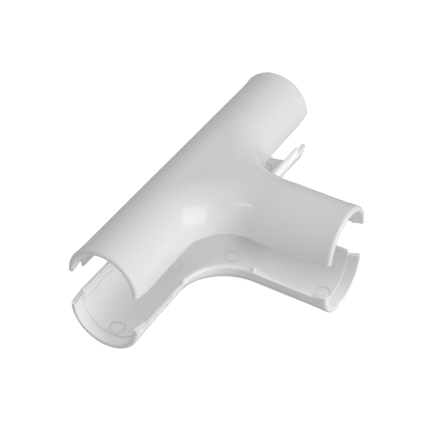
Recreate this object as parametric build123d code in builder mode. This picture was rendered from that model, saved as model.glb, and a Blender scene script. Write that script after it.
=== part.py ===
from build123d import *
import os

# Two-piece clip-together conduit tee in white plastic. The run lies along X, the branch
# points to -Y and +Z is up. The origin is on the underside, straight below the crossing
# of the run's and the branch's axes. The cover is drawn lifted straight off the base.
# All sizes are in millimetres.

# Sockets and walls
conduit_diameter = 20.0
socket_clearance = 0.1
wall = 1.7
run_half_length = 52.5
branch_length = 52.5
corner_radius = 14.0

# Mouths: a slight outward swell, a wider lead-in and rounded rims
flare = 0.35
flare_length = 7.0
lead_in_step = 0.2
lead_in_length = 4.0
outer_rim_rounding = 1.1
inner_rim_rounding = 0.4

# Parting line, measured from the plane of the axes. Beside the branch the cover laps
# over the base, and along the back of the run the base laps over the cover.
ledge_depth = 1.5
back_lip_height = 1.5
mouth_flat = 1.0
ramp_length = 4.5
seam = 0.1
corner_rim_rounding = 0.5

# Tongues inside the lap joint. On the +X side of the branch they stand up from the base,
# on its -X side and along the back they hang down from the cover. A tooth of the base
# stands on the ledge at the start of each branch wall.
tongue_thickness = 0.8
tongue_height = 1.0
tongue_setback = 4.0
hanging_tongue_depth = 2.0
hanging_run_setback = 5.8
hanging_branch_setback = 8.9
back_tongue_depth = 1.7
back_tongue_setback = 5.0
tooth_height = 1.1
tooth_length = 1.2
tooth_gap = 4.4

# Ring marks that the ejector pins leave on the floor of the base
pin_mark_diameter = 4.8
pin_mark_width = 0.24
pin_mark_depth = 0.2
pin_mark_from_mouth = 6.9
pin_mark_from_crossing = 13.5

# Where the cover is drawn: this far above its closed place
cover_lift = 13.0

# Sizes that follow from those above
bore_radius = conduit_diameter / 2 + socket_clearance
body_radius = bore_radius + wall
lap_radius = bore_radius + tongue_thickness
bend_radius = body_radius + corner_radius
tongue_start = bend_radius + seam
branch_tongue_start = tongue_start + tooth_length + tooth_gap
axis_height = body_radius
cover_axis_height = axis_height + cover_lift

# Cutting solids run past the faces that they cut by this much
overrun = 2.0
cut_depth = body_radius + flare + overrun

run_plus = Vector(1, 0, 0)
run_minus = Vector(-1, 0, 0)
branch_out = Vector(0, -1, 0)
arms = [(run_plus, run_half_length), (run_minus, run_half_length), (branch_out, branch_length)]

# The swept corner between the run's -X arm and the branch turns from one plane to the other
bend_start = Plane.YZ.offset(-bend_radius)
bend_end = Plane.XZ.offset(bend_radius)
bend_axis = Axis((-bend_radius, -bend_radius, 0), (0, 0, -1))


def arm_side_view(arm):
    """Upright plane on an arm's axis: local x runs outwards along the arm, local y is up."""
    return Plane(origin=(0, 0, 0), x_dir=arm, z_dir=arm.cross(Vector(0, 0, 1)))


def half_disc(radius, keep):
    """Half a disc; keep is the alignment that leaves the wanted side of its upright diameter."""
    Circle(radius)
    Rectangle(radius, 2 * radius, align=(keep, Align.CENTER), mode=Mode.INTERSECT)


def solid_tee(radius, run_reach, branch_reach):
    """Round tee with swept inner corners, flat between the ridges of run, bends and branch."""
    with BuildPart() as tee:
        with BuildSketch(Plane.YZ):
            half_disc(radius, Align.MIN)
        extrude(amount=-run_reach)
        with BuildSketch(bend_start):
            half_disc(radius, Align.MAX)
        extrude(amount=bend_radius - run_reach)
        with BuildSketch(bend_start):
            half_disc(radius, Align.MAX)
        revolve(axis=bend_axis, revolution_arc=90)
        with BuildSketch(bend_end):
            half_disc(radius, Align.MAX)
        extrude(amount=branch_reach - bend_radius)
        with BuildSketch(Plane.XY):
            with BuildLine():
                Line((-bend_radius, 0), (0, 0))
                Line((0, 0), (0, -bend_radius))
                CenterArc((-bend_radius, -bend_radius), bend_radius, 0, 90)
            make_face()
        extrude(amount=radius, both=True)
        mirror(about=Plane.YZ)
    return tee.part


def mouth_ring(arm, reach):
    """Revolve the end of an arm: a slight outward swell, a wider lead-in and rounded rims."""
    swell_start = reach - flare_length
    lead_in_start = reach - lead_in_length
    lead_in_radius = bore_radius + lead_in_step
    rim_radius = body_radius + flare
    with BuildSketch(arm_side_view(arm)) as profile:
        with BuildLine():
            TangentArc((swell_start, body_radius), (reach, rim_radius), tangent=(1, 0))
            Polyline(
                (reach, rim_radius),
                (reach, lead_in_radius),
                (lead_in_start, lead_in_radius),
                (lead_in_start, bore_radius),
                (swell_start, bore_radius),
                (swell_start, body_radius),
            )
        make_face()
        fillet(profile.vertices().group_by(Axis.X)[-1].sort_by(Axis.Y)[0], inner_rim_rounding)
        fillet(profile.vertices().sort_by(Axis.Y)[-1], outer_rim_rounding)
    revolve(profile.sketch, axis=Axis((0, 0, 0), arm))


def hollow_tee():
    """The whole tee before it is parted, with even walls and a turned ring at each mouth."""
    with BuildPart() as tee:
        add(solid_tee(body_radius, run_half_length - flare_length, branch_length - flare_length))
        add(
            solid_tee(bore_radius, run_half_length + overrun, branch_length + overrun),
            mode=Mode.SUBTRACT,
        )
        for arm, reach in arms:
            mouth_ring(arm, reach)
    return tee.part


def parting_outline(reach, mouth_level, middle_level):
    """Side view of the room below the parting line, ramped between its mouths and middle."""
    flat_end = reach - mouth_flat
    ramp_end = flat_end - ramp_length
    Polygon(
        (-reach - overrun, -cut_depth),
        (-reach - overrun, mouth_level),
        (-flat_end, mouth_level),
        (-ramp_end, middle_level),
        (ramp_end, middle_level),
        (flat_end, mouth_level),
        (reach + overrun, mouth_level),
        (reach + overrun, -cut_depth),
        align=None,
    )


def base_share(gap):
    """The room that the base fills below the parting line, widened all over by a gap."""
    tongue_middle = bore_radius - overrun / 2 + tongue_thickness / 2
    tongue_room = tongue_thickness + overrun + 2 * gap
    with BuildPart() as share:
        with BuildSketch(arm_side_view(run_plus)):
            parting_outline(run_half_length, gap, gap - ledge_depth)
        extrude(amount=cut_depth)
        with BuildSketch(arm_side_view(run_plus)):
            parting_outline(run_half_length, gap, gap + back_lip_height)
        extrude(amount=-cut_depth)
        with BuildSketch(arm_side_view(branch_out)):
            parting_outline(branch_length, gap, gap - ledge_depth)
        extrude(amount=bend_radius, both=True)
        with BuildSketch(Plane.XY.offset(tongue_height + gap)):
            start, end = tongue_start, run_half_length - tongue_setback
            with Locations(((start + end) / 2, -tongue_middle)):
                Rectangle(end - start + 2 * gap, tongue_room)
            start, end = branch_tongue_start, branch_length - tongue_setback
            with Locations((tongue_middle, -(start + end) / 2)):
                Rectangle(tongue_room, end - start + 2 * gap)
        extrude(amount=-cut_depth)
        with BuildSketch(Plane.XY.offset(tooth_height - ledge_depth + gap)):
            for side in (-1, 1):
                with Locations((side * tongue_middle, -(tongue_start + tooth_length / 2))):
                    Rectangle(tongue_room, tooth_length + 2 * gap)
        extrude(amount=-cut_depth)
        for plane, outwards, start, end in (
            (Plane.YZ, -1, bend_radius, run_half_length - hanging_run_setback),
            (Plane.XZ, 1, branch_tongue_start, branch_length - hanging_branch_setback),
        ):
            with BuildSketch(plane.offset(outwards * (start + gap))):
                half_disc(lap_radius - gap, Align.MAX)
                with Locations((0, gap - ledge_depth - hanging_tongue_depth)):
                    Rectangle(
                        2 * cut_depth,
                        cut_depth,
                        align=(Align.CENTER, Align.MIN),
                        mode=Mode.INTERSECT,
                    )
            extrude(amount=outwards * (end - start - 2 * gap), mode=Mode.SUBTRACT)
        back_tongue_end = run_half_length - back_tongue_setback - gap
        with BuildSketch(Plane.YZ.offset(-back_tongue_end)):
            Circle(lap_radius - gap)
            Rectangle(lap_radius - gap, cut_depth, align=(Align.MIN, Align.MIN))
            with Locations((0, gap - back_tongue_depth)):
                Rectangle(cut_depth, cut_depth, align=(Align.MIN, Align.MIN), mode=Mode.INTERSECT)
        extrude(amount=2 * back_tongue_end, mode=Mode.SUBTRACT)
    return share.part


def turn_round_corners(section):
    """Turn a section of the wall round both swept corners."""
    with BuildPart() as corners:
        revolve(section, axis=bend_axis, revolution_arc=90)
        mirror(about=Plane.YZ)
    return corners.part


def corner_rims(root, rim):
    """The walls of the swept corners from a root level to a rim with rounded edges."""
    with BuildSketch(bend_start) as section:
        Circle(body_radius)
        Circle(bore_radius, mode=Mode.SUBTRACT)
        with Locations((0, (root + rim) / 2)):
            Rectangle(cut_depth, abs(rim - root), align=(Align.MAX, Align.CENTER), mode=Mode.INTERSECT)
        rim_corners = section.vertices().sort_by(lambda corner: abs(corner.Y - rim))[:2]
        fillet(rim_corners, corner_rim_rounding)
    return turn_round_corners(section.sketch)


def corner_rim_room(root, rim):
    """Room round the same walls, from the root level to well past the rim."""
    past_rim = rim + (overrun if rim > root else -overrun)
    with BuildSketch(bend_start) as section:
        with Locations((-(bore_radius + wall / 2), (root + past_rim) / 2)):
            Rectangle(wall + 2 * overrun, abs(past_rim - root))
    return turn_round_corners(section.sketch)


whole_tee = hollow_tee()

# Base shell: the lower half, with its tongues and teeth, the ledges, the rebates for the
# cover's tongues, the back lip and the marks of the ejector pins
with BuildPart() as base_shell:
    rim = -ledge_depth
    root = rim - 2 * corner_rim_rounding
    with Locations((0, 0, axis_height)):
        add(whole_tee)
        add(base_share(0), mode=Mode.INTERSECT)
        add(corner_rim_room(root, rim), mode=Mode.SUBTRACT)
        add(corner_rims(root, rim))
    with BuildSketch(Plane.XY.offset(axis_height)):
        for arm, reach in arms:
            for distance in (pin_mark_from_crossing, reach - pin_mark_from_mouth):
                with Locations(arm * distance):
                    Circle((pin_mark_diameter + pin_mark_width) / 2)
                    Circle((pin_mark_diameter - pin_mark_width) / 2, mode=Mode.SUBTRACT)
    extrude(amount=-(bore_radius + pin_mark_depth), mode=Mode.SUBTRACT)

# Cover shell: the upper half, with the skirts that lap over the base and the hanging tongues
with BuildPart() as cover_shell:
    rim = seam - ledge_depth
    root = rim + 2 * corner_rim_rounding
    with Locations((0, 0, cover_axis_height)):
        add(whole_tee)
        add(base_share(seam), mode=Mode.SUBTRACT)
        add(corner_rim_room(root, rim), mode=Mode.SUBTRACT)
        add(corner_rims(root, rim))

base_shell.part.label = "base_shell"
cover_shell.part.label = "cover_shell"

os.makedirs("parts", exist_ok=True)
export_step(base_shell.part, "parts/base_shell.step")
export_step(cover_shell.part, "parts/cover_shell.step")
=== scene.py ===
import math

import bpy
from mathutils import Matrix, Vector


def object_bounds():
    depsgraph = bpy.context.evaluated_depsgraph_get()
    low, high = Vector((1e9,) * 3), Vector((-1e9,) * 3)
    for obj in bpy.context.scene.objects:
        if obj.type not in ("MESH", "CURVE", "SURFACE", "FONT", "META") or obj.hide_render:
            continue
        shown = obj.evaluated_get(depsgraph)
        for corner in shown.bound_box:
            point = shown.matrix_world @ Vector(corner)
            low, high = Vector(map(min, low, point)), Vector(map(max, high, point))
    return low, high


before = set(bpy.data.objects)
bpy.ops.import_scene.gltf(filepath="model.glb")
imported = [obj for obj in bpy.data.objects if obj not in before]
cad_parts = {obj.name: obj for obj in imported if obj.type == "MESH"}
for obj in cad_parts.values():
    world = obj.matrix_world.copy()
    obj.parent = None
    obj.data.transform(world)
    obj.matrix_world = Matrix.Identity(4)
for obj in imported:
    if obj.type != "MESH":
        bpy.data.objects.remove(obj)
cad_low, cad_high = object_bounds()


# Shared surface effects of the moulded plastic, each a node group with named inputs and outputs


def new_group(name, inputs, outputs):
    """Start a shader node group with named sockets.

    Returns the group, its input node and its output node.
    """
    group = bpy.data.node_groups.new(name, "ShaderNodeTree")
    for label, kind, value in inputs:
        socket = group.interface.new_socket(label, in_out="INPUT", socket_type=kind)
        if value is not None:
            socket.default_value = value
    for label, kind in outputs:
        group.interface.new_socket(label, in_out="OUTPUT", socket_type=kind)
    return group, group.nodes.new("NodeGroupInput"), group.nodes.new("NodeGroupOutput")


def noise(group, source, scale_socket, detail):
    """A noise texture in a group, its vector and its scale taken from sockets."""
    texture = group.nodes.new("ShaderNodeTexNoise")
    texture.inputs["Detail"].default_value = detail
    group.links.new(source, texture.inputs["Vector"])
    group.links.new(scale_socket, texture.inputs["Scale"])
    return texture


def remap(group, value, low, high, to_low, to_high):
    """Map a value from one range to another, held at the ends."""
    node = group.nodes.new("ShaderNodeMapRange")
    group.links.new(value, node.inputs["Value"])
    node.inputs["From Min"].default_value = low
    node.inputs["From Max"].default_value = high
    for label, end in (("To Min", to_low), ("To Max", to_high)):
        if isinstance(end, (int, float)):
            node.inputs[label].default_value = end
        else:
            group.links.new(end, node.inputs[label])
    return node.outputs["Result"]


def mould_skin_group():
    """The faint waviness and fine grain that a polished mould leaves on the plastic."""
    group, given, made = new_group(
        "Mould skin",
        [
            ("Vector", "NodeSocketVector", None),
            ("Wave scale", "NodeSocketFloat", 60.0),
            ("Grain scale", "NodeSocketFloat", 900.0),
            ("Grain share", "NodeSocketFloat", 0.2),
        ],
        [("Height", "NodeSocketFloat")],
    )
    waves = noise(group, given.outputs["Vector"], given.outputs["Wave scale"], 2.0)
    grain = noise(group, given.outputs["Vector"], given.outputs["Grain scale"], 3.0)
    share = group.nodes.new("ShaderNodeMix")
    group.links.new(given.outputs["Grain share"], share.inputs["Factor"])
    group.links.new(waves.outputs["Fac"], share.inputs["A"])
    group.links.new(grain.outputs["Fac"], share.inputs["B"])
    group.links.new(share.outputs["Result"], made.inputs["Height"])
    return group


def handling_marks_group():
    """Faint smudges: spots where the gloss is duller and the white a little greyer."""
    group, given, made = new_group(
        "Handling marks",
        [
            ("Vector", "NodeSocketVector", None),
            ("Smudge scale", "NodeSocketFloat", 45.0),
            ("Clean colour", "NodeSocketColor", (0.9, 0.9, 0.9, 1.0)),
            ("Smudge colour", "NodeSocketColor", (0.87, 0.87, 0.865, 1.0)),
            ("Clean roughness", "NodeSocketFloat", 0.07),
            ("Smudge roughness", "NodeSocketFloat", 0.14),
        ],
        [("Colour", "NodeSocketColor"), ("Roughness", "NodeSocketFloat")],
    )
    blotches = noise(group, given.outputs["Vector"], given.outputs["Smudge scale"], 5.0)
    mask = remap(group, blotches.outputs["Fac"], 0.5, 0.72, 0.0, 1.0)
    colour = group.nodes.new("ShaderNodeMix")
    colour.data_type = "RGBA"
    group.links.new(mask, colour.inputs["Factor"])
    group.links.new(given.outputs["Clean colour"], colour.inputs["A"])
    group.links.new(given.outputs["Smudge colour"], colour.inputs["B"])
    group.links.new(colour.outputs["Result"], made.inputs["Colour"])
    roughness = remap(
        group,
        mask,
        0.0,
        1.0,
        given.outputs["Clean roughness"],
        given.outputs["Smudge roughness"],
    )
    group.links.new(roughness, made.inputs["Roughness"])
    return group


mould_skin = mould_skin_group()
handling_marks = handling_marks_group()


# White rigid PVC with a half gloss, as moulded
pvc_white = (0.9, 0.9, 0.9, 1)
smudged_white = (0.87, 0.87, 0.865, 1)
pvc_ior = 1.53
skin_strength = 0.05
skin_depth = 0.0005


def white_pvc(name, offset):
    """The plastic of one shell; the offset in metres gives each shell marks of its own."""
    material = bpy.data.materials.new(name)
    material.use_nodes = True
    nodes, links = material.node_tree.nodes, material.node_tree.links
    shader = nodes["Principled BSDF"]
    shader.inputs["IOR"].default_value = pvc_ior
    place = nodes.new("ShaderNodeTexCoord")
    shift = nodes.new("ShaderNodeMapping")
    shift.inputs["Location"].default_value = offset
    links.new(place.outputs["Object"], shift.inputs["Vector"])
    marks = nodes.new("ShaderNodeGroup")
    marks.node_tree = handling_marks
    marks.inputs["Clean colour"].default_value = pvc_white
    marks.inputs["Smudge colour"].default_value = smudged_white
    links.new(shift.outputs["Vector"], marks.inputs["Vector"])
    links.new(marks.outputs["Colour"], shader.inputs["Base Color"])
    links.new(marks.outputs["Roughness"], shader.inputs["Roughness"])
    skin = nodes.new("ShaderNodeGroup")
    skin.node_tree = mould_skin
    links.new(shift.outputs["Vector"], skin.inputs["Vector"])
    bump = nodes.new("ShaderNodeBump")
    bump.inputs["Strength"].default_value = skin_strength
    bump.inputs["Distance"].default_value = skin_depth
    links.new(skin.outputs["Height"], bump.inputs["Height"])
    links.new(bump.outputs["Normal"], shader.inputs["Normal"])
    return material


base_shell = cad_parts["base_shell"]
cover_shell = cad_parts["cover_shell"]
base_plastic = white_pvc("base_plastic", (0, 0, 0))
cover_plastic = white_pvc("cover_plastic", (0.31, 0.17, 0.23))
for shell, plastic in ((base_shell, base_plastic), (cover_shell, cover_plastic)):
    for slot in range(len(shell.data.materials)):
        shell.data.materials[slot] = plastic


# Studio: a pale floor, soft light from above and from the branch's side, and a pale surround
floor_reach = 3.0
floor_gap = 0.0001
floor_white = (0.9, 0.9, 0.9, 1)
floor_in_reflections = (0.6, 0.6, 0.6, 1)
floor_glow = 0.8


def pale_floor():
    """A wide plane just under the tee, white to the camera and darker in reflections."""
    mesh = bpy.data.meshes.new("floor")
    level = cad_low.z - floor_gap
    corners = [
        (side_x * floor_reach, side_y * floor_reach, level)
        for side_x, side_y in ((-1, -1), (1, -1), (1, 1), (-1, 1))
    ]
    mesh.from_pydata(corners, [], [(0, 1, 2, 3)])
    floor = bpy.data.objects.new("floor", mesh)
    bpy.context.scene.collection.objects.link(floor)
    material = bpy.data.materials.new("floor_white")
    material.use_nodes = True
    nodes, links = material.node_tree.nodes, material.node_tree.links
    shader = nodes["Principled BSDF"]
    shader.inputs["Roughness"].default_value = 0.9
    shader.inputs["Emission Color"].default_value = (1, 1, 1, 1)
    rays = nodes.new("ShaderNodeLightPath")
    glow = nodes.new("ShaderNodeMath")
    glow.operation = "MULTIPLY"
    glow.inputs[1].default_value = floor_glow
    links.new(rays.outputs["Is Camera Ray"], glow.inputs[0])
    links.new(glow.outputs["Value"], shader.inputs["Emission Strength"])
    shade = nodes.new("ShaderNodeMix")
    shade.data_type = "RGBA"
    shade.inputs["A"].default_value = floor_white
    shade.inputs["B"].default_value = floor_in_reflections
    links.new(rays.outputs["Is Glossy Ray"], shade.inputs["Factor"])
    links.new(shade.outputs["Result"], shader.inputs["Base Color"])
    mesh.materials.append(material)


def soft_box(name, azimuth, elevation, distance, width, height, power):
    """A rectangular lamp that faces the tee.

    Its direction is given in degrees, as camera views are, its sizes in metres and its power
    in watts.
    """
    lamp = bpy.data.lights.new(name, "AREA")
    lamp.shape = "RECTANGLE"
    lamp.size, lamp.size_y = width, height
    lamp.energy = power
    holder = bpy.data.objects.new(name, lamp)
    turn, rise = math.radians(azimuth), math.radians(elevation)
    level_reach = math.cos(rise)
    out = Vector((math.sin(turn) * level_reach, -math.cos(turn) * level_reach, math.sin(rise)))
    holder.location = out * distance
    holder.rotation_euler = (-out).to_track_quat("-Z", "Y").to_euler()
    bpy.context.scene.collection.objects.link(holder)
    return holder


def light_only(lamp, shell):
    """The lamp lights one shell alone and only that shell shades it, as a fill in the open base."""
    lit = bpy.data.collections.new(lamp.name + "_lit")
    lit.objects.link(shell)
    lamp.light_linking.receiver_collection = lit
    lamp.light_linking.blocker_collection = lit


def surround(as_light, in_reflections):
    """An even white surround, faint as a light and brighter where the plastic mirrors it."""
    world = bpy.data.worlds.new("surround")
    world.use_nodes = True
    nodes, links = world.node_tree.nodes, world.node_tree.links
    background = nodes["Background"]
    background.inputs["Color"].default_value = (1, 1, 1, 1)
    rays = nodes.new("ShaderNodeLightPath")
    strength = nodes.new("ShaderNodeMix")
    strength.inputs["A"].default_value = as_light
    strength.inputs["B"].default_value = in_reflections
    links.new(rays.outputs["Is Glossy Ray"], strength.inputs["Factor"])
    links.new(strength.outputs["Result"], background.inputs["Strength"])
    bpy.context.scene.world = world


pale_floor()

# Lamps that the plastic mirrors: the bright patch on the corner and the streak beside it
soft_box("branch_side_box", 5, 22, 1.2, 1.0, 1.1, 7.2)
soft_box("left_box", -45, 20, 1.2, 1.4, 0.7, 0.7)
soft_box("tube_lamp", -91, 49, 1.2, 0.56, 0.12, 0.8)

# Lamps that it doesn't mirror
for unseen in (
    soft_box("low_front_box", -20, 12, 1.3, 0.8, 0.8, 2.4),
    soft_box("back_box", 180, 40, 1.3, 1.8, 1.2, 4.1),
    soft_box("right_box", 110, 30, 1.3, 1.2, 1.0, 2.1),
    soft_box("top_box", -40, 75, 1.3, 1.0, 1.0, 5.3),
):
    unseen.visible_glossy = False

# Lamps for the inside of the base, below the floating cover
for inside in (
    soft_box("inside_right_box", 75, 40, 1.3, 0.8, 0.8, 4.2),
    soft_box("inside_front_box", 0, 20, 1.3, 0.8, 0.8, 2.4),
):
    light_only(inside, base_shell)

surround(0.01, 0.4)


# Camera at the photograph's viewing angle


def photo_camera(location_mm, azimuth, elevation, roll, lens):
    """A camera at a place in the shared frame, aimed by the direction that it looks from.

    Its place and its lens are in millimetres and its angles in degrees.
    """
    data = bpy.data.cameras.new("photo_camera")
    data.sensor_width = 36.0
    data.lens = lens
    data.clip_start, data.clip_end = 0.01, 20.0
    camera = bpy.data.objects.new("photo_camera", data)
    aim = (
        Matrix.Rotation(math.radians(azimuth), 4, "Z")
        @ Matrix.Rotation(math.radians(90 - elevation), 4, "X")
        @ Matrix.Rotation(math.radians(roll), 4, "Z")
    )
    camera.matrix_world = Matrix.Translation(Vector(location_mm) / 1000) @ aim
    bpy.context.scene.collection.objects.link(camera)
    bpy.context.scene.camera = camera


photo_camera((-290.25, -172.68, 298.47), -60.26, 40.18, 1.04, 116.9)
bpy.context.scene.view_settings.view_transform = "Standard"
